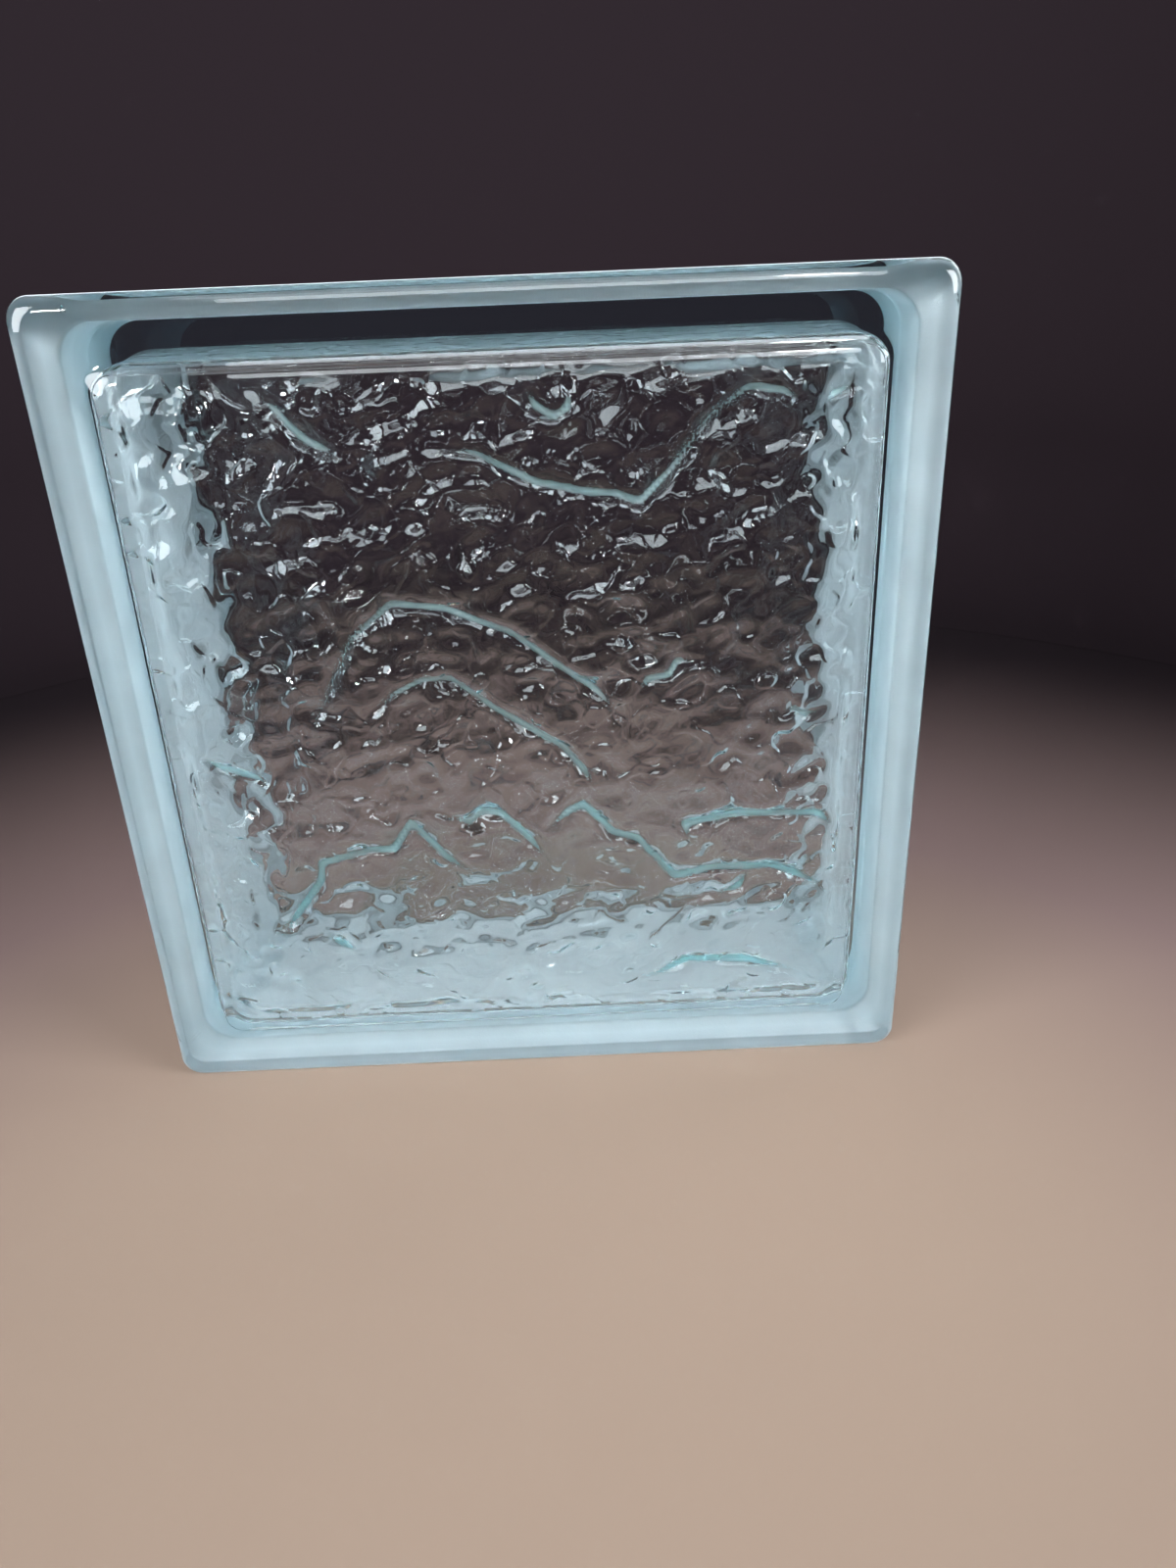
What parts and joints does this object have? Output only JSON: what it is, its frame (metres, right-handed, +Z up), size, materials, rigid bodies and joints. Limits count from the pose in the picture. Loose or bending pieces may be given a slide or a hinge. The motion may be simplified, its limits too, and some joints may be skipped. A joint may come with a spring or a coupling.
{
  "type": "hollow glass block",
  "caption": "Square hollow glass building block, two pressed halves fused at a mid seam, with a keyed edge for mortar and vein ridges inside the faces.",
  "frame": {"origin": "middle of the block's underside, on the floor that it stands on", "axes": "+X to the right across the face, +Y through the thickness from the front face to the back face, +Z up"},
  "size_m": [0.19, 0.08, 0.19],
  "materials": {
    "pressed_glass": "clear, faintly blue, fire-polished pressed glass",
    "edge_coating": "thin matte pale grey keying paint on the edges"
  },
  "bodies": {
    "root": {"front_half": "pressed_glass", "back_half": "pressed_glass"}
  },
  "joints": []
}
